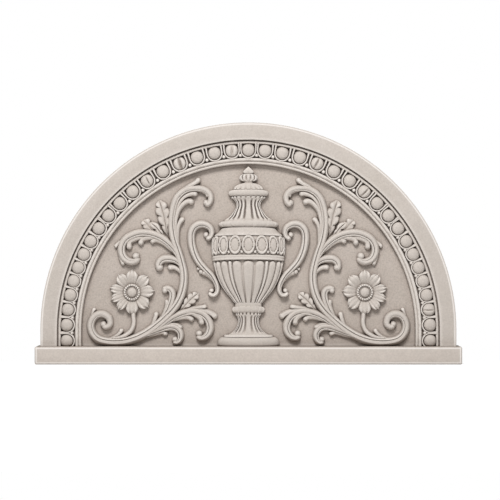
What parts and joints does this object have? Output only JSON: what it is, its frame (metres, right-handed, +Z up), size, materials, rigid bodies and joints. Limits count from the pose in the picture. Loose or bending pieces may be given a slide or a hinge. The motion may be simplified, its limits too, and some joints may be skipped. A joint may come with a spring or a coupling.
{
  "type": "pediment section",
  "caption": "Semicircular cast stone overdoor panel with an egg-and-dart arch, an urn in half relief, scrolling stems and two daisy heads, on a plain base ledge.",
  "frame": {"origin": "bottom centre of the outline box, under the base ledge", "axes": "+X along the ledge, +Y into the wall (the carved front faces -Y), +Z up"},
  "size_m": [1.2, 0.1, 0.681],
  "materials": {
    "panel_stone": "Cast stone, matt, fine mottled grain, light dirt in the hollows",
    "ledge_stone": "Cast stone, matt, a shade darker than the panel"
  },
  "bodies": {
    "root": {"lunette_panel": "panel_stone", "base_ledge": "ledge_stone"}
  },
  "joints": []
}
